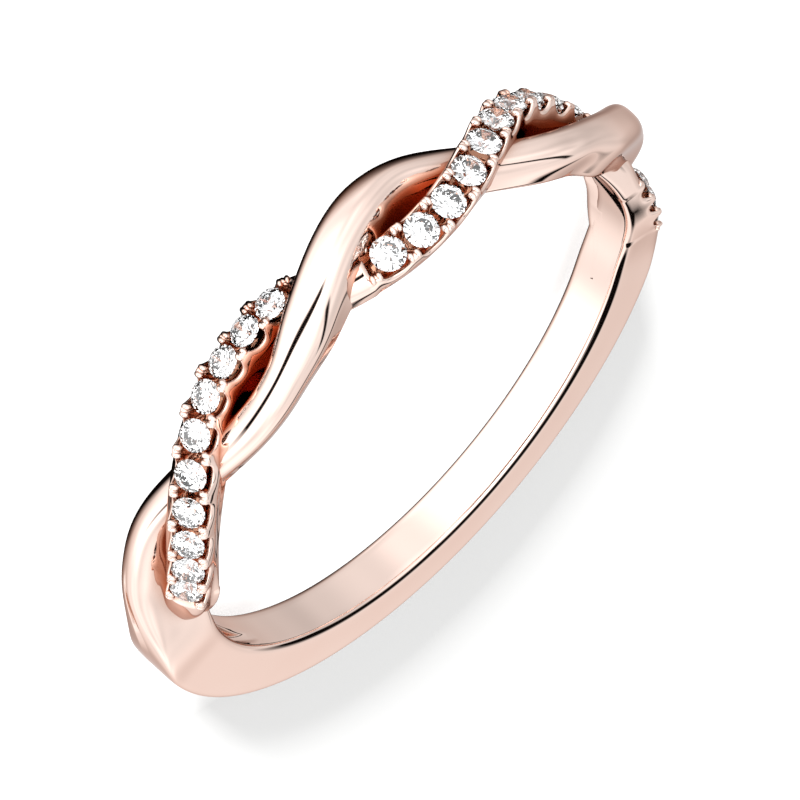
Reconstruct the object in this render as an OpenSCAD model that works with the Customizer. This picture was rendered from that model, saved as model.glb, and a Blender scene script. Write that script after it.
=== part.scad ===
// Twist ring: a polished wire and a stone-set wire twisted round each other across the front of a
// plain shank, cast as one piece, with a row of small round brilliants in the second wire.
// Millimetres. The ring lies flat: its axis is Z, the front of the twist faces -Y, and the origin
// is the centre of the finger hole, half way through it.
// Angles round the ring are counted from the front, positive towards +X.

/* [Finger hole and shank] */
// Inside diameter
bore_d = 16.9; // [15.5:0.1:20]
// Thickness at the back, from the finger to the outside
shank_t = 1.68; // [1.4:0.02:1.8]
// Shift of the outside towards the front, which thickens the shank where the twist begins
shank_shift = 0.36; // [0.1:0.01:0.4]
// Turn of that shift towards the left end
shank_way = 12; // [0:1:30]
// Width of the side faces apart, at the outside
shank_w = 1.7; // [1.5:0.02:1.8]
// Width of the flat inside face
shank_in_w = 1.58; // [1.4:0.02:1.6]
// Height over the finger where the rounding of the inside edges ends
shank_ease = 0.16; // [0.1:0.02:0.3]

/* [Twist] */
// Height of the twist's centre line above the finger hole
twist_lift = 0.9; // [0.8:0.01:1]
// Swing of each strand to either side of the middle
swing = 0.79; // [0.7:0.01:0.9]
// Rise and fall of each strand where the two cross
rise = 0.32; // [0.25:0.01:0.4]
// Angle for a full turn of the twist in the middle
turn_mid = 71; // [66:1:76]
// Angle for a full turn towards the left end
turn_left = 75; // [70:1:80]
// Angle for a full turn towards the right end
turn_right = 96; // [90:1:100]
// Lean of a strand's top away from the middle at its widest swing
lean = 20; // [0:1:25]
// More of that lean for the stone strand beside its left row
left_lean = 14; // [0:1:18]
// Shift of the stone strand to the right, in front and beside its left row
left_drift = 0.12; // [0:0.01:0.16]
// Further swing of the stone strand to the left before it dips under the polished one
left_out = 0.2; // [0:0.01:0.22]
// Extra height of the stone strand ahead of the right crossing
right_lift = 0.12; // [0:0.01:0.16]
// Loss of height of the stone strand beyond it
right_drop = 0.14; // [0:0.01:0.16]
// Share by which swing and lean are less at the right end
right_calm = 0.22; // [0.1:0.02:0.3]
// Share by which swing and lean are less where the left row of stones ends
left_calm = 0.14; // [0:0.02:0.2]
// Angle where the strands start to run into the shank
end_start = 84; // [82:1:88]
// Angle where nothing but the shank is left
end_stop = 108; // [104:1:112]
// Angle where the foot of a strand, on the side of the other one, starts to widen into the shank
fill_start = 60; // [56:1:66]
// Angle where its far side starts to widen
widen_start = 74; // [70:1:80]

/* [Polished strand] */
// Width
plain_w = 1.1; // [1:0.02:1.2]
// Height of the crest above its centre line
plain_h = 0.71; // [0.6:0.01:0.8]
// Share by which it is wider over its crossing in the middle
broad = 0.27; // [0:0.01:0.3]
// Extra height over its last crossing, at the right end
bulge = 0.13; // [0:0.01:0.16]
// Share by which its side towards the stone strand is wider there
skirt = 0.5; // [0:0.05:0.5]

/* [Stone strand] */
// Width over the side walls
set_w = 1.24; // [1.16:0.02:1.32]
// Height of the prong tips above its centre line
prong_h = 0.6; // [0.58:0.01:0.66]
// Depth of the cut-down wall beside each stone, below the prong tips
scallop = 0.5; // [0.4:0.01:0.55]
// Clear width of the channel under the stones
channel_w = 0.56; // [0.5:0.01:0.6]
// Share by which its foot is wider at the left end
foot_skirt = 0.35; // [0:0.05:0.4]

/* [Stones] */
// Diameter in the two end rows
stone_d = 0.92; // [0.8:0.01:0.94]
// Diameter in the middle row
stone_mid_d = 0.98; // [0.8:0.01:1]
// Height of the girdle above the strand's centre line
girdle_h = 0.42; // [0.4:0.01:0.46]
// Crown height over the girdle
crown_h = 0.14; // [0.1:0.01:0.16]
// Girdle thickness
girdle_t = 0.03; // [0.02:0.005:0.04]
// Pavilion depth below the girdle
pavilion_h = 0.38; // [0.3:0.01:0.4]
// Table width as a share of the diameter
table_share = 0.56; // [0.5:0.01:0.62]

/* [Hidden] */
$fn = 96;
eps = 0.02;
inset = 0.98;
foot_w = set_w - 0.1;
bore_r = bore_d / 2;
mid_r = bore_r + twist_lift;
half_turn = turn_mid / 2;
// Leaf hollow: radius of the groove, its turning radius, shift and direction of that centre
leaf_r = 0.3;
leaf_shift = 1.1;
leaf_way = 70;
leaf_z = 0.32;
leaf_turn = bore_r - 0.82;
out_r = bore_r + shank_t + shank_shift;
// Rows of stones: angle of the first one, step to the next, number of stones, diameter
rows = [[76.6, -5.65, 10, stone_d], [7.9, -6.15, 10, stone_mid_d], [-75.2, -5.7, 3, stone_d]];
seats = [for (row = rows) for (i = [0:row[2] - 1]) [row[0] + i * row[1], row[3]]];

// Smooth step from 0 to 1
function ease(x) = let(t = min(1, max(0, x))) t * t * (3 - 2 * t);

// Turn of the twist at an angle round the ring
function turn_at(p) =
    abs(p) <= half_turn ? 360 * p / turn_mid
    : sign(p) * 180 + (p - sign(p) * half_turn) * 360 / (p > 0 ? turn_left : turn_right);

// Share by which the strands have run into the shank
function ending(p) = ease((abs(p) - end_start) / (end_stop - end_start));

// Share of the full swing and lean that is left, less beside both ends of the twist
function calm(p) =
    1 - right_calm * ease((-p - 50) / 28) - left_calm * ease((p - 50) / 14) * ease((88 - p) / 12);

// Share of a change that comes in over a run of degrees after start and is gone again by stop
function between(p, start, stop, run) = ease((p - start) / run) * ease((stop - p) / run);

// What the centre line of the stone strand departs by from an even twist: [z, radius]
function stray(p) = [
    left_drift * between(p, 20, 96, 16) - left_out * between(p, 14, 36, 11),
    right_lift * between(-p, 24, 62, 14) - right_drop * ease((-p - 62) / 12)];

// Centre line of a strand: side +1 is the stone strand, -1 the polished one. Gives [z, radius]
function path(side, p) = let(
    even = [side * swing * calm(p) * cos(turn_at(p)), mid_r - side * rise * sin(turn_at(p))])
    even + (side > 0 ? stray(p) : [0, bulge * between(-p, 46, 82, 14)]);

// Share by which a strand is flattened where it dips under the other
function dip(side, p) = 0.24 * pow(max(0, (mid_r - path(side, p)[1]) / rise), 2);

// Share by which a point of a strand takes the shank's own section: polished to the left, stone to
// the right. The point is i from the crest, hand +1 on the right of it. The foot of the side that
// faces the other strand starts first, the part of that side beside the stones last
function becoming(side, p, hand, i) = side * p > 0 ? 0 : let(
    facing = hand == -side,
    start = facing ? fill_start : widen_start,
    first = ease((abs(p) - start) / (end_stop - start)),
    top = facing || side > 0 ? ending(p) : first)
    top + (first - top) * ease((i - (facing ? 5 : 3)) / 3);

// Share by which a strand is wider at a point: the polished one over its middle crossing, and towards
// the stones at the right end, the stone strand's foot at the left end
function fuller(side, p, hand, up) =
    side < 0 ? broad * between(p, -6, 36, 14) + (hand > 0 ? skirt * between(-p, 36, 80, 14) : 0)
    : up > -0.1 ? 0
    : hand < 0 ? foot_skirt * between(p, 36, 100, 14)
    : foot_skirt * between(p, 66, 114, 20);

// Thickness of the shank at an angle round the ring
function thick_at(p) = let(a = p - shank_way)
    shank_shift * cos(a) + sqrt(pow(out_r, 2) - pow(shank_shift * sin(a), 2)) - bore_r;

// Right half of the shank's section, [across, height over the finger]: outside part, t high
function shank_crown(t) = let(w = shank_w / 2) [
    [0, t], [w * 0.55, t - 0.005], [w * 0.88, t - 0.03], [w * 0.98, t - 0.12], [w, t - 0.28],
    [w - 0.01, t - 0.75]];
// The same, inside part: flank, eased edge and a foot reaching through the finger hole's wall
function shank_foot() = let(w = shank_w / 2) [
    [w - 0.02, shank_ease * 2], [w - 0.03, shank_ease * 0.6], [shank_in_w / 2 - 0.03, -0.2]];

// Half of a plain strand's section, [across, height over the centre line], crest first
function strand_half(w, h) =
    [for (q = [90:-18:0]) [w / 2 * pow(cos(q), 0.8), h * pow(sin(q), 0.8)]];
function strand_foot(w) = [[w * 0.5, -0.3], [w * 0.5, -0.6], [w * 0.49, -1.02]];

// Closed loop of a section from its right half: crest, right side, foot, then the left side
function loop_of(half, foot) = let(right = concat(half, foot), n = len(right))
    concat(right, [for (i = [n - 1:-1:1]) [-right[i][0], right[i][1]]]);

// Half of the stone strand's section: channel floor, wall top inside and outside, flank
// up is 1 at a prong and 0 beside a stone
function set_half(inner, outer) = let(
    low = prong_h - scallop, wall = set_w / 2,
    floor_h = girdle_h - pavilion_h - 0.12) [
    [0, floor_h], [channel_w / 2 - 0.04, floor_h],
    [channel_w / 2 + 0.09 * (1 - inner), low - 0.06 + (scallop + 0.04) * inner],
    [wall * 0.8, low + scallop * outer], [wall * 0.93, low - 0.04 + (scallop - 0.06) * outer],
    [wall, -0.02]];

// Sections between one stone and the next: offset in steps, wall height inside and outside
setting = [[0, 0, 0], [0.22, 0, 0.05], [0.37, 0.05, 0.85], [0.45, 1, 1]];

// Lean of a strand's top at an angle round the ring, c its centre line there
function lean_at(side, p, c) = lean * calm(p) * c[0] / swing * (1 - 0.6 * ending(p))
    + (side > 0 ? left_lean * between(p, 30, 104, 22) : 0);

// A point of a strand: sec is [across, height] about its centre line, q the strand's own lean
function place(side, p, sec) = let(
    c = path(side, p), c1 = path(side, p - 0.5), c2 = path(side, p + 0.5),
    run = c[1] * PI / 180, slope = atan2(c2[0] - c1[0], run),
    q = lean_at(side, p, c),
    top = sec[1] > 0 ? sec[1] * (1 - dip(side, p)) : sec[1],
    across = sec[0] * cos(q) + top * sin(q), up = top * cos(q) - sec[0] * sin(q))
    [-across * sin(slope), c[0] + across * cos(slope), c[1] + up];

// From [along, z, radius] at an angle to a point in space
function wrap(p, v) = let(a = p + v[0] / v[2] * 180 / PI) [v[2] * sin(a), -v[2] * cos(a), v[1]];

// One section of a strand as points in space, taking the shank's section near its end
function section(side, p, strand) = let(
    fade = side * p < 0 ? 1 : 1 - 0.45 * ending(p), sink = side * p < 0 ? 0 : ending(p),
    shank = loop_of(shank_crown(thick_at(p)), shank_foot()), n = len(strand))
    [for (i = [0:n - 1]) let(
        hand = i * 2 < n ? 1 : -1, m = becoming(side, p, hand, min(i, n - i)),
        wide = 1 + fuller(side, p, hand, strand[i][1]),
        s0 = place(side, p, [strand[i][0] * wide, strand[i][1]] * fade),
        held = side < 0 ? ease((-p - 70) / 12) : 0,
        s = [s0[0], s0[1] * (1 - held + held / sqrt(1 + pow(s0[1] / 1.25, 2))), s0[2]],
        t = [0, shank[i][0] * inset, bore_r + shank[i][1] - (shank[i][1] > 0.6 ? eps : 0)],
        v = s * (1 - m) + t * m)
        wrap(p, [v[0], v[1] * (1 - 0.6 * sink), v[2] - 0.12 * sink])];

// Skin over a list of equal sections, closed at both ends
module skin(rings) {
    n = len(rings[0]);
    m = len(rings);
    pts = [for (r = rings) each r];
    faces = concat(
        [[for (i = [0:n - 1]) i]],
        [for (j = [0:m - 2]) for (i = [0:n - 1]) let(k = (i + 1) % n)
            each [[j * n + i, (j + 1) * n + i, (j + 1) * n + k], [j * n + i, (j + 1) * n + k, j * n + k]]],
        [[for (i = [n - 1:-1:0]) (m - 1) * n + i]]);
    polyhedron(points = pts, faces = faces, convexity = 8);
}

// Angles and wall heights of the stone strand, left to right: plain, set rows, plain between them
function row_sections(row) = [
    for (i = [0:row[2] - 1]) for (k = [-3:3]) let(s = setting[abs(k)])
        [row[0] + (i + sign(k) * s[0]) * row[1], s[1], s[2], 1]];
function plain_sections(a, b) = [for (i = [0:ceil(abs(a - b) / 3)]) 
    [a + (b - a) * i / ceil(abs(a - b) / 3), 1, 1, 0]];
function row_end(row) = row[0] + (row[2] - 1) * row[1];
function row_margin(row) = abs(row[1]) * 0.6;

module stone_strand() {
    list = concat(
        plain_sections(end_stop - 2, rows[0][0] + row_margin(rows[0])), row_sections(rows[0]),
        plain_sections(row_end(rows[0]) - row_margin(rows[0]), rows[1][0] + row_margin(rows[1])),
        row_sections(rows[1]),
        plain_sections(row_end(rows[1]) - row_margin(rows[1]), rows[2][0] + row_margin(rows[2])),
        row_sections(rows[2]),
        plain_sections(row_end(rows[2]) - row_margin(rows[2]), -end_stop - 2));
    plain = loop_of(strand_half(set_w, prong_h), strand_foot(foot_w));
    skin([for (s = list) section(1, s[0],
        s[3] == 0 ? plain : loop_of(set_half(s[1], s[2]), strand_foot(foot_w)))]);
}

module polished_strand() {
    half = strand_half(plain_w, plain_h);
    skin([for (p = [end_stop + 2:-2.7:2 - end_stop])
        section(-1, p, loop_of(half, strand_foot(plain_w)))]);
}

// Plain shank: its outside turned about a centre set forward of the finger hole's
module shank() {
    span = 360 - 2 * (end_stop - 1);
    intersection() {
        rotate([0, 0, shank_way]) translate([0, -shank_shift, 0]) rotate_extrude() mirrored(concat(
            shank_crown(out_r - bore_r), [[shank_w / 2 - 0.02, -2]]));
        rotate([0, 0, 90 - span / 2]) rotate_extrude(angle = span) mirrored(concat(
            [[0, 3], [shank_w / 2 - 0.02, 3], [shank_w / 2 - 0.02, 0.8]], shank_foot()));
    }
}

// Both halves of a section given by its right half, set out from the finger hole's wall
module mirrored(half) {
    n = len(half);
    all = concat(half, [for (i = [n - 1:-1:0]) if (half[i][0] > 0) [-half[i][0], half[i][1]]]);
    polygon([for (v = all) [bore_r + v[1], v[0]]]);
}

// Leaf-shaped hollow inside the shank where the two strands part, at the left end: a round groove
// turned about a centre set aside, so that it runs out of the finger hole's wall
module leaf() {
    translate([leaf_shift * sin(leaf_way), -leaf_shift * cos(leaf_way), leaf_z])
        rotate([0, 0, 98 - 90])
            rotate_extrude(angle = 44) translate([leaf_turn, 0]) circle(r = leaf_r);
}

module ring_metal() {
    color("#E3A88C")
    difference() {
        union() {
            shank();
            polished_strand();
            stone_strand();
        }
        cylinder(h = 6, r = bore_r, center = true);
        leaf();
    }
}

// Round brilliant about its own axis, girdle plane at 0
module brilliant(d) {
    r = d / 2;
    rt = r * table_share;
    rs = r * 0.77;
    rl = r * 0.22;
    hs = crown_h * (r - rs * cos(22.5)) / (r - rt);
    hl = -pavilion_h * (1 - rl * cos(22.5) / r);
    g = girdle_t / 2;
    pts = concat(
        [for (i = [0:7]) [rt * cos(45 * i), rt * sin(45 * i), g + crown_h]],
        [for (i = [0:7]) [rs * cos(45 * i + 22.5), rs * sin(45 * i + 22.5), g + hs]],
        [for (i = [0:15]) [r * cos(22.5 * i), r * sin(22.5 * i), g]],
        [for (i = [0:15]) [r * cos(22.5 * i), r * sin(22.5 * i), -g]],
        [for (i = [0:7]) [rl * cos(45 * i + 22.5), rl * sin(45 * i + 22.5), hl - g]],
        [[0, 0, -pavilion_h - g]]);
    table = [[for (i = [7:-1:0]) i]];
    crown = [for (i = [0:7])
        let(n = (i + 1) % 8, b = (i + 7) % 8, a = 16 + 2 * i, e = 16 + (2 * i + 2) % 16)
        each [[i, n, 8 + i], [i, 8 + i, a, 8 + b], [8 + i, a + 1, a], [8 + i, e, a + 1]]];
    girdle = [for (j = [0:15]) let(k = (j + 1) % 16) [16 + j, 16 + k, 32 + k, 32 + j]];
    pavilion = [for (i = [0:7]) let(b = (i + 7) % 8, a = 32 + 2 * i, e = 32 + (2 * i + 2) % 16)
        each [[56, 48 + b, a, 48 + i], [48 + i, a, a + 1], [48 + i, a + 1, e]]];
    polyhedron(points = pts, faces = concat(table, crown, girdle, pavilion), convexity = 2);
}

// A stone in its seat, square to the top of the stone strand
module stone(i) {
    p = seats[i][0];
    c = path(1, p);
    q = lean_at(1, p, c);
    color("#EAF3F8")
    rotate([0, 0, p])
        translate([0, -c[1], c[0]])
            rotate([90 - q, 0, 0])
                translate([0, 0, girdle_h])
                    rotate([0, 0, 11.25])
                        brilliant(seats[i][1]);
}

ring_metal();
for (i = [0:len(seats) - 1])
    stone(i);
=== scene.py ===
"""A twist ring in polished rose gold, lying flat on a pale table: one wire is polished and one holds a
row of small round brilliants. The ring's axis is Z, the front of the twist faces -Y, and angles round
the ring are counted in degrees from the front, positive towards +X. A span of angles is written as
where a change comes in, where it is gone again, and the run of degrees that either takes."""
import math

import bmesh
import bpy
import numpy as np
from mathutils import Matrix, Quaternion, Vector


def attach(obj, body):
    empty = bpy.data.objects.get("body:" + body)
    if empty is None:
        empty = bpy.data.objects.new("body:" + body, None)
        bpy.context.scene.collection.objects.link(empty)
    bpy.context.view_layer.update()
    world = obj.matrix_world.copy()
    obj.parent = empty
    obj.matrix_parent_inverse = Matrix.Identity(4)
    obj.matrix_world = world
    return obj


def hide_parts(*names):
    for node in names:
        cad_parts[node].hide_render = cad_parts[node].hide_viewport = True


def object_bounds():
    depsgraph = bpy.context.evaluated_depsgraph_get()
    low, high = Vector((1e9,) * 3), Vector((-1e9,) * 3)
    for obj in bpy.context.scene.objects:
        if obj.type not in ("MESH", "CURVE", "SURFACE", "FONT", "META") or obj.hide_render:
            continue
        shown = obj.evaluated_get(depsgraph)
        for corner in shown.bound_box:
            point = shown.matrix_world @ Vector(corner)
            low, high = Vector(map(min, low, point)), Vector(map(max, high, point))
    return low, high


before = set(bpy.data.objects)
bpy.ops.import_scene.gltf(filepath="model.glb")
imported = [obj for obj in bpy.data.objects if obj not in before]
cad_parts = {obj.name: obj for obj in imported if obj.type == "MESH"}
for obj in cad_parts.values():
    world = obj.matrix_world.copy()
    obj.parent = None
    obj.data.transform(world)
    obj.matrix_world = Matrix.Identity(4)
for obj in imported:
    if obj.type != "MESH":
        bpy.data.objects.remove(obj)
cad_box = [list(corner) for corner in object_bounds()]

# Sizes of the ring in millimetres and degrees, the same as the solids have: first the radius of the
# finger hole, then the even twist, its centre line's distance from the hole's wall, its sideways swing
# and rise, and the degrees that one full turn takes. The last one is the skin's own: the degrees on
# either side over which the pitch changes
MM = 0.001
BORE = 8.45
MID_OUT = 0.9
MID = BORE + MID_OUT
SWING = 0.79
RISE = 0.32
TURN_MID = 71
TURN_LEFT = 75
TURN_RIGHT = 96
HALF_TURN = TURN_MID / 2
TURN_SOFT = 6.0

# Less swing beside both ends of the twist
CALM_FROM = 50
RIGHT_CALM = 0.22
RIGHT_CALM_RUN = 28
LEFT_CALM = 0.14
LEFT_CALM_RUN = 14
LEFT_CALM_STOP = 88
LEFT_CALM_BACK = 12

# Where the strands stray from the even twist
LEFT_DRIFT = 0.12
LEFT_DRIFT_SPAN = (20, 96, 16)
LEFT_OUT = 0.2
LEFT_OUT_SPAN = (14, 36, 11)
RIGHT_LIFT = 0.12
RIGHT_LIFT_SPAN = (24, 62, 14)
RIGHT_DROP = 0.14
RIGHT_DROP_FROM = 62
RIGHT_DROP_RUN = 12
BULGE = 0.13
BULGE_SPAN = (46, 82, 14)

# How a strand leans outwards, and how much flatter it is where it passes under the other
LEAN = 20
LEAN_LOST = 0.6
LEFT_LEAN = 14
LEFT_LEAN_SPAN = (30, 104, 22)
DIP = 0.24

# Where a strand is set wider, as a share of its width: the crossing in the middle and the skirt at the
# right end of the polished one, and both feet of the stone strand below a height
BROAD = 0.27
BROAD_SPAN = (-6, 36, 14)
SKIRT = 0.5
SKIRT_SPAN = (36, 80, 14)
FOOT_SKIRT = 0.35
FOOT_SPAN = (36, 100, 14)
FAR_FOOT_SPAN = (66, 114, 20)
FOOT_TOP = -0.02
FOOT_FADE = 0.2

# The polished strand is held in between the side faces at the right end
HELD_FROM = 70
HELD_RUN = 12
HELD_Z = 1.25

# Ends of the twist: where the strands turn into the shank, and how the one that ends there sinks in
END_START = 84
END_STOP = 108
SHORT_OF_END = 2
FILL_START = 60
WIDEN_START = 74
FOOT_GUIDE = 3
FACING_FOOT_GUIDE = 5
FOOT_GUIDES = 3
SINK_SMALLER = 0.45
SINK_INWARDS = 0.6
SINK_DEEPER = 0.12

# The shank's section, its thickness at the back, and how far and which way its outside is set off the
# finger hole's middle
SHANK_W = 1.7
SHANK_IN_W = 1.58
SHANK_EASE = 0.16
SHANK_BACK = 1.68
SHANK_SHIFT = 0.36
SHANK_WAY = 12
SHANK_OUT = BORE + SHANK_BACK + SHANK_SHIFT

# The strands' sections, and the channel and seats of the stones
PLAIN_W = 1.1
PLAIN_H = 0.71
ROUNDNESS = 0.8
FOOT_DEPTH = 1.02
SET_W = 1.24
PRONG_H = 0.6
SCALLOP = 0.5
CHANNEL_W = 0.56
GIRDLE_H = 0.42
PAVILION_H = 0.38

# Rows of stones: angle of the first one, step to the next, number of stones
ROWS = ((76.6, -5.65, 10), (7.9, -6.15, 10), (-75.2, -5.7, 3))

# Wall of the stone strand between one stone and the next: offset in steps, height inside and outside
SETTING = np.array([(0, 0, 0.22), (0.14, 0, 0.26), (0.27, 0, 0.5),
                    (0.37, 0.08, 0.9), (0.42, 0.7, 1), (0.5, 1, 1)])
ROW_END = 0.62
SECTIONS_A_STONE = 16

# Bead tips of the prongs: height on the walls, lower in the right row, then place and half sizes
BEAD_TALL = 0.48
BEAD_TALL_RIGHT = 0.4
BEAD_RIGHT = -70
BEAD_AT = 0.42
BEAD_APART = 0.09
BEAD_R = 9.9
BEAD_SIZE = (0.09, 0.14, 0.11)

# Leaf-shaped hollow inside the shank where the strands part: a groove about a centre set aside
LEAF_R = 0.3
LEAF_SHIFT = 1.1
LEAF_WAY = math.radians(70)
LEAF_Z = 0.32
LEAF_IN = 0.82
LEAF_TURN = BORE - LEAF_IN
LEAF_START = 98
LEAF_STOP = 142

# Points of the skin: from one guide point to the next, up to where a half section's flank begins, and
# on the inside face. Then how far the last corner is rounded, at most as a share of the face, and the
# degrees from one section to the next, fine near both ends of the twist
FINE_POINTS = 4
FLANK = 22
FACE_POINTS = 9
EDGE = 0.2
EDGE_SHARE = 0.3
STEP = 0.8
FINE_STEP = 0.3
BACK_STEP = 1.2
FINE_FROM = 95
FINE_STOP = 134
FINE_AGAIN = 226

# Camera: where it looks, how far away it is, its angles and the field it takes in
LOOK_AT = Vector((0.105, -0.011, -0.13)) * MM
CAMERA_FAR = 79.29 * MM
CAMERA_AZIMUTH = 23.71
CAMERA_HEIGHT = 21.99
CAMERA_ROLL = -129.83
CAMERA_LENS = 123.68
CAMERA_FILM = 36

# Table's length, and the painted glow under the ring, light that the table itself gives off though it is no
# lamp, which keeps the finger hole bright:
# its middle, reach and fading rim, all in metres, and its strength
TABLE = 1.0
GLOW_AT = (0.0015, -0.0035, 0.0)
GLOW_R = 0.016
GLOW_FADE = 0.003
GLOW = 0.65

# Light of the studio by direction: from all round, from the camera's side and from right behind the
# camera, all of it weaker towards -X and stronger towards +X. It is dark low down on the far side
ROUND_LIGHT = 1.1
NEAR_LIGHT = 0.35
STRIP_LIGHT = 1.2
STRIP_HEIGHT = 10
EVEN_SHARE = 1.08
ASIDE_SHARE = 0.35
LOW_FROM = 0.36
LOW_RUN = 2.6
LOW_DARK = 0.85
FAR_FROM = 0.3
FAR_RUN = 1.4

# Key lamp: its azimuth and height as the camera's are, its distance and size in metres, and its power
KEY_AZIMUTH = 16
KEY_HEIGHT = 9.5
KEY_FAR = 0.4
KEY_SIZE = 0.04
KEY_POWER = 7.0

# Long black cards: width and height in metres, azimuth and height of the place, and roll. Then their
# distance, how steeply they thin out at the ends and at the long edges, and the card's two tones
FLAGS = {"lens_flag": (0.5, 0.07, 48, 4, -8), "top_flag": (0.3, 0.035, -80, 66, 0)}
FLAG_FAR = 0.2
FIRM_ENDS = 3.0
FIRM_EDGES = 1.6
BLACK = (0.004, 0.003, 0.003)
BLACK_WORN = (0.008, 0.006, 0.006)

# Level black card over the far side of the ring, and the ring of card under the metal, which is painted
# shade: it stands in for the ring's shade on the table where the metal mirrors it, in millimetres
OVER_SIZE = (17, 11)
OVER_AT = (-5, 8.4, 6.2)
UNDER_FROM = 8.75
UNDER_TO = 10.35
UNDER_FADE = 0.6
UNDER_SUNK = 0.05
UNDER_SIDES = 128

# Fleck cards: how many, their distance and half size in metres and how it comes and goes, the lowest
# one's height and how much higher the last one is, and the turn in degrees from one to the next
FLECKS = 150
FLECK_FAR = 0.15
FLECK_HALF = 0.006
FLECK_CHANGE = 0.004
FLECK_BEAT = 2.3
FLECK_LOW = 5
FLECK_RISE = 85
FLECK_TURN = 137.508


def ease(x):
    """Smooth step from 0 to 1."""
    t = min(1.0, max(0.0, x))
    return t * t * t * (t * (6 * t - 15) + 10)


def between(p, start, stop, run):
    """Share of a change that comes in over a run of degrees after start and is gone again by stop."""
    return ease((p - start) / run) * ease((stop - p) / run)


def turn_at(p):
    """Turn of the twist, with the change of pitch eased over a few degrees."""
    side = 1 if p > 0 else -1
    past = abs(p) - HALF_TURN
    run = 0
    if past > TURN_SOFT:
        run = past
    elif past >= -TURN_SOFT:
        run = (past + TURN_SOFT) ** 2 / (4 * TURN_SOFT)
    extra = 360 / (TURN_LEFT if p > 0 else TURN_RIGHT) - 360 / TURN_MID
    return math.radians(360 * p / TURN_MID + side * extra * run)


def ending(p):
    """Share by which the twist has ended."""
    return ease((abs(p) - END_START) / (END_STOP - END_START))


def calm(p):
    """Share of the full swing that is left."""
    right = RIGHT_CALM * ease((-p - CALM_FROM) / RIGHT_CALM_RUN)
    left = LEFT_CALM * ease((p - CALM_FROM) / LEFT_CALM_RUN) * ease((LEFT_CALM_STOP - p) / LEFT_CALM_BACK)
    return 1 - right - left


def stray(p):
    """What the centre line of the stone strand departs by from an even twist, as (z, radius)."""
    drop = RIGHT_DROP * ease((-p - RIGHT_DROP_FROM) / RIGHT_DROP_RUN)
    return (LEFT_DRIFT * between(p, *LEFT_DRIFT_SPAN) - LEFT_OUT * between(p, *LEFT_OUT_SPAN),
            RIGHT_LIFT * between(-p, *RIGHT_LIFT_SPAN) - drop)


def path(side, p):
    """Centre line of a strand as (z, radius): side 1 is the stone strand, -1 the polished one."""
    aside, higher = stray(p) if side > 0 else (0, BULGE * between(-p, *BULGE_SPAN))
    return (side * SWING * calm(p) * math.cos(turn_at(p)) + aside,
            MID - side * RISE * math.sin(turn_at(p)) + higher)


def dip(side, p):
    """Share of its height that a strand loses where it passes under the other."""
    return DIP * max(0.0, (MID - path(side, p)[1]) / RISE) ** 2


def lean_at(side, p, z):
    """How far a strand leans outwards, in radians, with its centre line at z."""
    more = LEFT_LEAN * between(p, *LEFT_LEAN_SPAN) if side > 0 else 0
    return math.radians(LEAN * calm(p) * z / SWING * (1 - LEAN_LOST * ending(p)) + more)


def place(side, p, across, height):
    """Points of a strand's section, arrays in, as arrays of (along, z, radius)."""
    z, r = path(side, p)
    rise = path(side, p + 0.5)[0] - path(side, p - 0.5)[0]
    slope = math.atan2(rise, r * math.pi / 180)
    lean = lean_at(side, p, z)
    top = np.where(height > 0, height * (1 - dip(side, p)), height)
    u = across * math.cos(lean) + top * math.sin(lean)
    v = top * math.cos(lean) - across * math.sin(lean)
    return np.stack([-u * math.sin(slope), z + u * math.cos(slope), r + v], axis=1)


def wrap(p, points):
    """From (along, z, radius) at an angle to points in space."""
    a = math.radians(p) + points[:, 0] / points[:, 2]
    return np.stack([points[:, 2] * np.sin(a), -points[:, 2] * np.cos(a), points[:, 1]], axis=1)


# Sections. Each is the right half of the outline, crest first, as nine guide points
def strand_half(w, h):
    """A rounded crest on a straight foot."""
    crest = [(w / 2 * max(0, math.cos(q)) ** ROUNDNESS, h * max(0, math.sin(q)) ** ROUNDNESS)
             for q in np.radians([90, 72, 54, 36, 18, 0])]
    return crest + [(0.5 * w, -0.3), (0.5 * w, -0.6), (0.49 * w, -FOOT_DEPTH)]


def shank_half(t):
    """A flat band of thickness t, its height counted from the finger hole, narrower on the inside."""
    w = SHANK_W / 2
    return [(0, t), (0.55 * w, t), (0.9 * w, t - 0.02), (1.02 * w, t - 0.08), (1.01 * w, t - 0.26),
            (w - 0.01, t - 0.75), (w - 0.02, 2 * SHANK_EASE), (w - 0.03, 0.6 * SHANK_EASE),
            (SHANK_IN_W / 2 - 0.03, -0.2)]


def set_half(inner, outer):
    """Channel floor, channel side, wall top inside and outside, and the flank of the stone strand."""
    low = PRONG_H - SCALLOP
    wall = SET_W / 2
    foot_w = SET_W - 0.1
    floor_h = GIRDLE_H - PAVILION_H - 0.12
    return [(0, floor_h), (CHANNEL_W / 2 - 0.04, floor_h),
            (CHANNEL_W / 2 + 0.09 * (1 - inner), low - 0.06 + (SCALLOP + 0.04) * inner),
            (0.8 * wall, low + SCALLOP * outer), (0.93 * wall, low - 0.04 + (SCALLOP - 0.06) * outer),
            (wall, -0.02), (0.51 * foot_w, -0.3), (0.5 * foot_w, -0.6), (0.49 * foot_w, -FOOT_DEPTH)]


def smooth(half):
    """A smooth curve, a cubic B-spline, led by the guide points and square to the middle at the crest."""
    guide = np.array([(-half[1][0], half[1][1])] + list(half) + [2 * np.array(half[-1]) - half[-2]])
    t = np.arange(FINE_POINTS)[:, None] / FINE_POINTS
    weights = np.hstack([(1 - t) ** 3, 3 * t**3 - 6 * t**2 + 4, -3 * t**3 + 3 * t**2 + 3 * t + 1, t**3]) / 6
    runs = [weights @ guide[i:i + 4] for i in range(len(guide) - 3)]
    return np.vstack(runs + [guide[-2]])


def thick_at(p):
    """Thickness of the shank."""
    a = math.radians(p - SHANK_WAY)
    return SHANK_SHIFT * math.cos(a) + math.sqrt(SHANK_OUT**2 - (SHANK_SHIFT * math.sin(a)) ** 2) - BORE


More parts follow.
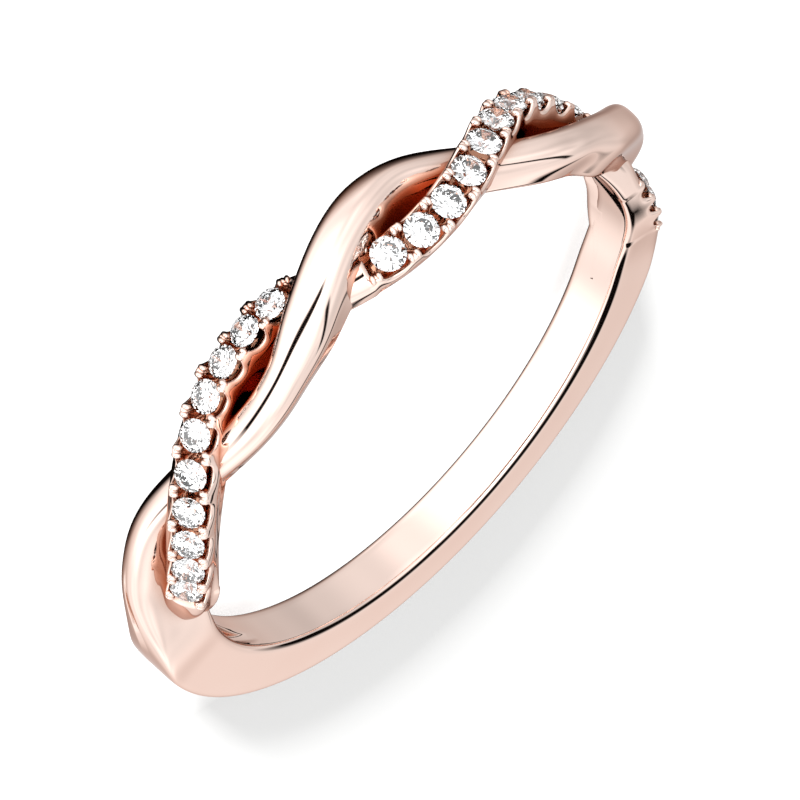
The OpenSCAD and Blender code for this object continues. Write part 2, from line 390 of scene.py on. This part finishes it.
def shank_sides(p):
    """Both half sections of the shank at an angle, as arrays of (along, z, radius)."""
    shank = smooth(shank_half(thick_at(p)))
    return [np.stack([np.zeros(len(shank)), hand * shank[:, 0], BORE + shank[:, 1]], axis=1)
            for hand in (1, -1)]


def trimmed(half):
    """A half section in (along, z, radius), cut off where it meets the finger hole's wall. Its last
    point is the corner there, and the one before it is where the corner's rounding starts."""
    below = np.nonzero(half[FLANK:, 2] < BORE)[0]
    tail = half[FLANK - 1:]
    if len(below):
        i = below[0] + FLANK
        share = (half[i - 1, 2] - BORE) / (half[i - 1, 2] - half[i, 2])
        tail = np.vstack([half[FLANK - 1:i], half[i - 1] + share * (half[i] - half[i - 1])])
    length = np.concatenate([[0], np.cumsum(np.linalg.norm(np.diff(tail, axis=0), axis=1))])
    count = len(half) - FLANK
    marks = np.append(np.linspace(0, max(length[-1] - EDGE, 0.5 * length[-1]), count), length[-1])[1:]
    flank = np.stack([np.interp(marks, length, tail[:, k]) for k in range(3)], axis=1)
    return np.vstack([half[:FLANK], flank])


def hollowed(points):
    """Points in space, pushed out of the leaf hollow."""
    x, y, z = points.T
    cx, cy = LEAF_SHIFT * math.sin(LEAF_WAY), -LEAF_SHIFT * math.cos(LEAF_WAY)
    r = np.hypot(x, y)
    ex, ey = x / r, y / r
    angle = np.degrees(np.arctan2(x, -y))
    half = np.sqrt(np.maximum(0, LEAF_R**2 - (z - LEAF_Z) ** 2))
    along = ex * cx + ey * cy
    wall = along + np.sqrt(along**2 - LEAF_SHIFT**2 + (LEAF_TURN + half) ** 2)
    inside = (half > 0) & (angle > LEAF_START) & (angle < LEAF_STOP) & (r < wall)
    r = np.where(inside, wall, r)
    return np.stack([ex * r, ey * r, z], axis=1)


def rounded(start, corner, stop):
    """Points on a curve from start to stop that stays inside the corner."""
    t = np.linspace(0, 1, 6)[1:-1, None]
    return start * (1 - t) ** 2 + corner * 2 * t * (1 - t) + stop * t**2


def closed_ring(p, right, left):
    """A whole section in space from its two halves and the inside face between them."""
    right, left = trimmed(right), trimmed(left)
    across = left[-1] - right[-1]
    soft = min(EDGE_SHARE, EDGE / np.linalg.norm(across))
    face = right[-1] + np.linspace(soft, 1 - soft, FACE_POINTS)[:, None] * across
    ends = (rounded(right[-2], right[-1], face[0]), rounded(left[-2], left[-1], face[-1])[::-1])
    return hollowed(wrap(p, np.vstack([right[:-1], ends[0], face, ends[1], left[-2:0:-1]])))


def becoming(side, p, hand, count):
    """Share by which each point of a half section has turned into the shank's own section. The foot of
    the side that faces the other strand starts first, the part of that side beside the stones last."""
    if side * p > 0:
        return np.zeros(count)
    facing = hand == -side
    start = FILL_START if facing else WIDEN_START
    first = ease((abs(p) - start) / (END_STOP - start))
    top = ending(p) if facing or side > 0 else first
    guide = FACING_FOOT_GUIDE if facing else FOOT_GUIDE
    foot = np.clip((np.arange(count) / FINE_POINTS - guide) / FOOT_GUIDES, 0, 1)
    return top + (first - top) * foot * foot * (3 - 2 * foot)


def fuller(side, p, hand, height):
    """Share by which each point of a half section is set wider: the polished strand over its middle
    crossing and towards the stones at the right end, the foot of the stone strand at the left end."""
    if side < 0:
        share = BROAD * between(p, *BROAD_SPAN) + (SKIRT * between(-p, *SKIRT_SPAN) if hand > 0 else 0)
        return np.full(len(height), share)
    share = FOOT_SKIRT * between(p, *(FOOT_SPAN if hand < 0 else FAR_FOOT_SPAN))
    return share * np.clip((FOOT_TOP - height) / FOOT_FADE, 0, 1)


def strand_ring(side, p, half):
    """One section of a strand, which turns into the shank's own section or sinks into it at its end."""
    sink = ending(p) if side * p > 0 else 0
    curve = smooth(half) * (1 - SINK_SMALLER * sink)
    held = ease((-p - HELD_FROM) / HELD_RUN) if side < 0 else 0
    halves = []
    for hand, shank in zip((1, -1), shank_sides(p)):
        wide = 1 + fuller(side, p, hand, curve[:, 1])
        strand = place(side, p, hand * wide * curve[:, 0], curve[:, 1])
        strand[:, 1] *= 1 - held + held / np.sqrt(1 + (strand[:, 1] / HELD_Z) ** 2)
        share = becoming(side, p, hand, len(strand))[:, None]
        mixed = strand * (1 - share) + shank * share
        halves.append(mixed * (1, 1 - SINK_INWARDS * sink, 1) - (0, 0, SINK_DEEPER * sink))
    return closed_ring(p, *halves)


def steps(a, b, size):
    """Angles from a to b, about one size apart."""
    return np.linspace(a, b, max(2, round(abs(b - a) / size) + 1))


def set_sections():
    """Angle and half section all along the stone strand, right to left."""
    plain = strand_half(SET_W, PRONG_H)
    found = []
    edge = -END_STOP
    for first, step, count in reversed(ROWS):
        last = first + step * (count - 1)
        found += [(p, plain) for p in steps(edge, last + ROW_END * step, STEP)]
        for k in np.linspace(-0.5, count - 0.5, count * SECTIONS_A_STONE + 1):
            offset = abs(k - round(k)) if -0.5 < k < count - 0.5 else 0.5
            inner = float(np.interp(offset, SETTING[:, 0], SETTING[:, 1]))
            outer = float(np.interp(offset, SETTING[:, 0], SETTING[:, 2]))
            found.append((last - step * k, set_half(inner, outer)))
        edge = first - ROW_END * step
    return found + [(p, plain) for p in steps(edge, END_STOP - SHORT_OF_END, STEP)]


def metal_rings():
    """The whole casting as one run: polished strand, shank, stone strand."""
    polished = strand_half(PLAIN_W, PLAIN_H)
    angles = np.concatenate([steps(-END_STOP + SHORT_OF_END, FINE_FROM, STEP),
                             steps(FINE_FROM + FINE_STEP, END_STOP, FINE_STEP)])
    rings = [strand_ring(-1, p, polished) for p in angles]
    angles = np.concatenate([steps(END_STOP + FINE_STEP, FINE_STOP, FINE_STEP),
                             steps(FINE_STOP + STEP, FINE_AGAIN - STEP, BACK_STEP),
                             steps(FINE_AGAIN, 360 - END_STOP - FINE_STEP, FINE_STEP)])
    rings += [closed_ring(p, *shank_sides(p)) for p in angles]
    return rings + [strand_ring(1, p, half) for p, half in set_sections()]


def skin(name, rings):
    """A closed skin over equal rings of points."""
    n, m = len(rings[0]), len(rings)
    faces = [(j * n + i, (j + 1) * n + i, (j + 1) * n + (i + 1) % n, j * n + (i + 1) % n)
             for j in range(m - 1) for i in range(n)]
    faces += [tuple(range(n)), tuple(range(m * n - 1, (m - 1) * n - 1, -1))]
    mesh = bpy.data.meshes.new(name)
    mesh.from_pydata([tuple(v) for v in np.vstack(rings) * MM], [], faces)
    mesh.validate()
    return mesh


# Shader maths
class Field:
    """A number that changes over a surface: reckoning with it adds Math nodes."""

    def __init__(self, sheet, socket):
        self.sheet = sheet
        self.socket = socket

    def reckon(self, operation, *others):
        values = {i: getattr(v, "socket", v) for i, v in enumerate(others)}
        return self.sheet.add("ShaderNodeMath", {"operation": operation}, values)

    def held(self):
        """The same number, kept between 0 and 1."""
        return self.reckon("MINIMUM", self.reckon("MAXIMUM", self, 0.0), 1.0)

    def __add__(self, other):
        return self.reckon("ADD", self, other)

    def __sub__(self, other):
        return self.reckon("SUBTRACT", self, other)

    def __mul__(self, other):
        return self.reckon("MULTIPLY", self, other)

    def __rsub__(self, other):
        return self.reckon("SUBTRACT", other, self)

    __radd__ = __add__
    __rmul__ = __mul__


class Sheet:
    """The nodes of one finish."""

    def __init__(self, name, tree=None):
        if tree is None:
            self.material = bpy.data.materials.new(name)
            self.material.use_nodes = True
            tree = self.material.node_tree
        self.tree = tree
        self.tree.nodes.clear()

    def add(self, kind, settings=None, values=None, out=0):
        """One node: its settings first, then the values or links of its sockets."""
        node = self.tree.nodes.new(kind)
        for name, value in (settings or {}).items():
            if name == "stops":
                ramp = node.color_ramp
                while len(ramp.elements) < len(value):
                    ramp.elements.new(0.5)
                for element, (place_on, colour) in zip(ramp.elements, value):
                    element.position = place_on
                    element.color = (*colour, 1)
            else:
                setattr(node, name, value)
        for name, value in (values or {}).items():
            value = getattr(value, "socket", value)
            if isinstance(value, bpy.types.NodeSocket):
                self.tree.links.new(value, node.inputs[name])
            else:
                node.inputs[name].default_value = value
        return Field(self, node.outputs[out])

    def cloud(self, where, scale, detail=2.0):
        return self.add("ShaderNodeTexNoise", None, {"Vector": where, "Scale": scale, "Detail": detail})

    def tint(self, share, low, high, start=0.3, stop=0.7):
        """From the colour low to the colour high as a share goes from start to stop."""
        return self.add("ShaderNodeValToRGB", {"stops": [(start, low), (stop, high)]}, {0: share})

    def blend(self, share, low, high):
        """A mix of two colours, either of them a node's own."""
        return self.add("ShaderNodeMix", {"data_type": "RGBA"}, {0: share, 6: low, 7: high}, out=2)

    def finish(self, **sockets):
        """The surface's own shader, and the material that it ends in."""
        names = {name.replace("_", " "): value for name, value in sockets.items()}
        return self.close(self.add("ShaderNodeBsdfPrincipled", None, names))

    def close(self, shader):
        out = self.tree.nodes.new("ShaderNodeOutputMaterial")
        self.tree.links.new(shader.socket, out.inputs["Surface"])
        return self.material


def rose_gold():
    """Polished and faintly rubbed, with painted shade: browner where the surface lies in a recess."""
    sheet = Sheet("polished rose gold")
    where = sheet.add("ShaderNodeTexCoord", out=3)
    cloud = sheet.cloud(where, 260.0, 3.0)
    fine = sheet.cloud(where, 2600.0, 4.0)
    stretched = sheet.add("ShaderNodeVectorMath", {"operation": "MULTIPLY"}, {0: where, 1: (1.0, 1.0, 14.0)})
    rubbed = sheet.cloud(stretched, 1500.0)
    bright = sheet.tint(cloud, (0.87, 0.685, 0.61), (0.89, 0.715, 0.64))
    # Painted shade: the colour turns dark brown where nearby metal or stones close in round the surface, as
    # shade would fall in the recesses
    open_share = sheet.add("ShaderNodeAmbientOcclusion", {"samples": 8}, {"Distance": 0.8 * MM}, out=1)
    unshaded_share = sheet.tint(open_share, (0.0, 0.0, 0.0), (1.0, 1.0, 1.0), 0.32, 0.85)
    colour = sheet.blend(unshaded_share, (0.5, 0.23, 0.14, 1.0), bright)
    roughness = 0.02 + cloud * 0.02 + rubbed * 0.02
    bump = sheet.add("ShaderNodeBump", None,
                     {"Height": fine + rubbed, "Strength": 0.02, "Distance": 0.002 * MM})
    return sheet.finish(Base_Color=colour, Roughness=roughness, Metallic=1.0, Normal=bump,
                        Specular_Tint=(0.62, 0.5, 0.46, 1.0))


def clear_stone():
    """A brilliant's clear crystal, with a breath of cold colour."""
    sheet = Sheet("cut clear stone")
    cloud = sheet.cloud(sheet.add("ShaderNodeTexCoord", out=3), 900.0)
    colour = sheet.tint(cloud, (0.97, 0.985, 1.0), (1.0, 1.0, 1.0))
    return sheet.finish(Base_Color=colour, Roughness=cloud * 0.004, IOR=2.417, Transmission_Weight=1.0)


def pale_table():
    """Matt pale card, with a painted glow under the ring: the table itself gives off light there."""
    sheet = Sheet("pale table top")
    where = sheet.add("ShaderNodeTexCoord", out=3)
    cloud = sheet.cloud(where, 60.0, 3.0)
    colour = sheet.tint(cloud, (0.55, 0.55, 0.547), (0.565, 0.565, 0.562))
    # Painted light: the table gives off light in a disc under the ring, though no lamp is there
    offset = sheet.add("ShaderNodeVectorMath", {"operation": "SUBTRACT"}, {0: where, 1: GLOW_AT})
    far = sheet.add("ShaderNodeVectorMath", {"operation": "LENGTH"}, {0: offset}, out=1)
    share = ((GLOW_R - far) * (1 / GLOW_FADE)).held()
    glow = sheet.blend(share, (0.0, 0.0, 0.0, 1.0), (1.0, 1.0, 1.0, 1.0))
    return sheet.finish(Base_Color=colour, Roughness=0.7 + cloud * 0.1, Emission_Color=glow,
                        Emission_Strength=GLOW)


def black_card():
    """Plain black card."""
    sheet = Sheet("black card")
    cloud = sheet.cloud(sheet.add("ShaderNodeTexCoord", out=3), 40.0)
    colour = sheet.tint(cloud, BLACK, BLACK_WORN)
    return sheet.finish(Base_Color=colour, Roughness=1.0, Specular_IOR_Level=0.0)


def thinned(sheet, share):
    """Black card where the share is 1, nothing where it is 0."""
    black = sheet.add("ShaderNodeBsdfDiffuse", None, {"Color": (*BLACK, 1.0)})
    clear = sheet.add("ShaderNodeBsdfTransparent")
    return sheet.close(sheet.add("ShaderNodeMixShader", None, {0: share, 1: clear, 2: black}))


def faded_card():
    """Black card that thins out towards the outer rim of the ring of card."""
    sheet = Sheet("faded black card")
    where = sheet.add("ShaderNodeTexCoord", out=3)
    level = sheet.add("ShaderNodeVectorMath", {"operation": "MULTIPLY"}, {0: where, 1: (1 / MM, 1 / MM, 0.0)})
    far = sheet.add("ShaderNodeVectorMath", {"operation": "LENGTH"}, {0: level}, out=1)
    return thinned(sheet, ((UNDER_TO - far) * (1 / UNDER_FADE)).held())


def soft_card(width, tall):
    """Black card that thins out towards its long edges and its ends."""
    sheet = Sheet("soft black card")
    where = sheet.add("ShaderNodeTexCoord", out=3)
    share = 1.0
    for axis, size, firm in ((0, width, FIRM_ENDS), (1, tall, FIRM_EDGES)):
        part = sheet.add("ShaderNodeSeparateXYZ", None, {0: where}, out=axis)
        inwards = 1 - part.reckon("ABSOLUTE", part) * (2 / size)
        share = share * (inwards * firm).held()
    return thinned(sheet, share)


def add_metal(gold):
    """The casting's skin."""
    casting = bpy.data.objects.new("casting", skin("casting", metal_rings()))
    finish_metal(casting, gold)


def add_prongs(gold):
    """Two bead tips on each post of the stone strand's walls, on either side of each stone."""
    beads = bmesh.new()
    for first, step, count in ROWS:
        for gap in range(count + 1):
            for hand in (1, -1):
                for shift in (-BEAD_APART, BEAD_APART):
                    p = first + (gap - 0.5) * step + math.degrees(shift / BEAD_R)
                    tall = BEAD_TALL_RIGHT if p < BEAD_RIGHT else BEAD_TALL
                    marks = ((BEAD_AT * hand, tall), ((BEAD_AT + 0.01) * hand, tall),
                             (BEAD_AT * hand, tall + 0.01))
                    seat, side_on, up_on = (wrap(p, place(1, p, np.array([u]), np.array([v])))[0]
                                            for u, v in marks)
                    across = Vector(side_on - seat).normalized()
                    up = Vector(up_on - seat).normalized()
                    ways = (across.cross(up).normalized(), across, up)
                    turn = Matrix([way * size for way, size in zip(ways, BEAD_SIZE)]).transposed().to_4x4()
                    bmesh.ops.create_icosphere(beads, subdivisions=3, radius=1,
                                               matrix=Matrix.Translation(Vector(seat)) @ turn)
    bmesh.ops.scale(beads, vec=(MM, MM, MM), verts=beads.verts)
    prongs = bpy.data.objects.new("prongs", bpy.data.meshes.new("prongs"))
    beads.to_mesh(prongs.data)
    beads.free()
    finish_metal(prongs, gold)


def finish_metal(piece, gold):
    """Everything of metal is one casting with one finish."""
    piece.data.shade_smooth()
    piece.data.materials.append(gold)
    bpy.context.scene.collection.objects.link(piece)
    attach(piece, "root")
    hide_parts("ring_metal")


def dress_stones():
    """The stones' own solids get the clear finish."""
    finish = clear_stone()
    for name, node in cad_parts.items():
        if name.startswith("stone_"):
            for slot in node.material_slots:
                slot.material = finish


def towards(azimuth, height):
    """The way to a place round the ring, its azimuth and height seen as the camera's are."""
    a, e = math.radians(azimuth), math.radians(height)
    return Vector((math.sin(a) * math.cos(e), -math.cos(a) * math.cos(e), math.sin(e)))


def oblong(width, tall):
    """Corners of a level oblong round its middle."""
    w, h = width / 2, tall / 2
    return [(-w, -h, 0), (w, -h, 0), (w, h, 0), (-w, h, 0)]


def stage_piece(name, points, faces, finish):
    """A flat piece of the studio, which is no part of the ring."""
    piece = bpy.data.objects.new(name, bpy.data.meshes.new(name))
    piece.data.from_pydata(points, [], faces)
    piece.data.materials.append(finish)
    bpy.context.scene.collection.objects.link(piece)
    return piece


def mirrored_card(name, points, faces, finish):
    """A card that lamps and the camera pass by: polished metal and cut stones alone show it."""
    card = stage_piece(name, points, faces, finish)
    card.visible_camera = card.visible_diffuse = card.visible_shadow = False
    card.visible_volume_scatter = False
    return card


def soft_flag(name, width, tall):
    """A soft black oblong, level and in the ring's middle until it is placed."""
    return mirrored_card(name, oblong(width, tall), [(0, 1, 2, 3)], soft_card(width, tall))


def stand(piece, way, distance, roll=0):
    """Stands a lamp or a card at a distance, square to the ring's middle."""
    piece.location = way * distance
    piece.rotation_mode = "QUATERNION"
    piece.rotation_quaternion = way.to_track_quat("Z", "Y") @ Quaternion((0, 0, 1), math.radians(roll))


def add_table():
    """The table's top, at the ring's lowest point."""
    table = stage_piece("table_top", oblong(TABLE, TABLE), [(0, 1, 2, 3)], pale_table())
    table.location = (0, 0, cad_box[0][2])
    table.visible_glossy = False


def add_key():
    """A small strong lamp low behind the camera, which casts the long soft shadow."""
    light = bpy.data.lights.new("key", "AREA")
    light.shape = "SQUARE"
    light.size = KEY_SIZE
    light.energy = KEY_POWER
    lamp = bpy.data.objects.new("key", light)
    stand(lamp, towards(KEY_AZIMUTH, KEY_HEIGHT), KEY_FAR)
    bpy.context.scene.collection.objects.link(lamp)
    lamp.visible_glossy = lamp.visible_transmission = False


def add_under_shade_card():
    """A black ring just under the table's face, seen only in reflections: painted shade that stands in for
    the ring's shade on the table, and gives the metal's lower edges their dark line.
    """
    low = cad_box[0][2] - UNDER_SUNK * MM
    ways = [2 * math.pi * i / UNDER_SIDES for i in range(UNDER_SIDES)]
    points = [(r * math.cos(way), r * math.sin(way), low)
              for way in ways for r in (UNDER_FROM * MM, UNDER_TO * MM)]
    all_round = len(points)
    faces = [(i, i + 1, (i + 3) % all_round, (i + 2) % all_round) for i in range(0, all_round, 2)]
    mirrored_card("under_shade_card", points, faces, faded_card())


def add_flags():
    """Long cards for the dark lines on the strands, and a level one over the far side of the ring,
    which the inner edge mirrors as a dark line."""
    for name, (width, tall, azimuth, height, roll) in FLAGS.items():
        stand(soft_flag(name, width, tall), towards(azimuth, height), FLAG_FAR, roll)
    width, tall = OVER_SIZE
    soft_flag("edge_card", width * MM, tall * MM).location = Vector(OVER_AT) * MM


def add_flecks():
    """Small black cards round the ring that only light leaving a cut stone meets: they give its facets
    their dark flecks."""
    points, faces = [], []
    for i in range(FLECKS):
        height = FLECK_LOW + FLECK_RISE * (i + 0.5) / FLECKS
        way = towards(FLECK_TURN * i, height) * FLECK_FAR
        half = FLECK_HALF + FLECK_CHANGE * math.sin(FLECK_BEAT * i)
        side = way.cross(Vector((0, 0, 1))).normalized() * half
        up = way.cross(side).normalized() * side.length
        points += [way - side - up, way + side - up, way + side + up, way - side + up]
        faces.append(tuple(range(4 * i, 4 * i + 4)))
    cards = mirrored_card("fleck_cards", [tuple(v) for v in points], faces, black_card())
    cards.visible_glossy = False


def add_sky():
    """Soft light from all round, strongest behind the camera, dark and warm low on the far side."""
    world = bpy.data.worlds.new("studio")
    world.use_nodes = True
    sheet = Sheet("studio", world.node_tree)
    where = sheet.add("ShaderNodeTexCoord", out=0)
    facing = sheet.add("ShaderNodeVectorMath", {"operation": "DOT_PRODUCT"},
                       {0: where, 1: towards(CAMERA_AZIMUTH, STRIP_HEIGHT)}, out=1)
    aside, height = (sheet.add("ShaderNodeSeparateXYZ", None, {0: where}, out=axis) for axis in (0, 2))
    below = ((height + LOW_FROM) * -LOW_RUN).held()
    below = below * (FAR_FROM - facing * FAR_RUN).held()
    uneven = sheet.cloud(where, 1.7, 1.0)
    near = facing.reckon("MAXIMUM", facing, 0.0)
    strip = near * near
    glow = (ROUND_LIGHT + near * NEAR_LIGHT + strip * strip * STRIP_LIGHT) * (1 - below * LOW_DARK)
    glow = glow * (0.5 + uneven) * (EVEN_SHARE + aside * ASIDE_SHARE)
    colour = sheet.blend(below, (1.0, 1.0, 1.0, 1.0), (1.0, 0.8, 0.72, 1.0))
    background = sheet.add("ShaderNodeBackground", None, {"Color": colour, "Strength": glow})
    out = sheet.tree.nodes.new("ShaderNodeOutputWorld")
    sheet.tree.links.new(background.socket, out.inputs["Surface"])
    bpy.context.scene.world = world
    bpy.context.scene.view_settings.view_transform = "Standard"


def add_camera():
    """The camera, turned about its own line of sight so that the ring runs slantwise."""
    back = towards(CAMERA_AZIMUTH, CAMERA_HEIGHT)
    a, roll = math.radians(CAMERA_AZIMUTH), math.radians(CAMERA_ROLL)
    level = Vector((math.cos(a), math.sin(a), 0))
    up = back.cross(level) * math.cos(roll) + level * math.sin(roll)
    data = bpy.data.cameras.new("camera")
    data.lens = CAMERA_LENS
    data.sensor_width = CAMERA_FILM
    data.clip_start, data.clip_end = 0.005, 10
    camera = bpy.data.objects.new("camera", data)
    camera.location = LOOK_AT + back * CAMERA_FAR
    camera.rotation_mode = "QUATERNION"
    camera.rotation_quaternion = Matrix((up.cross(back), up, back)).transposed().to_quaternion()
    bpy.context.scene.collection.objects.link(camera)
    bpy.context.scene.camera = camera


add_camera()
add_table()
add_sky()
add_key()
add_under_shade_card()
add_flags()
add_flecks()
metal_finish = rose_gold()
add_metal(metal_finish)
add_prongs(metal_finish)
dress_stones()
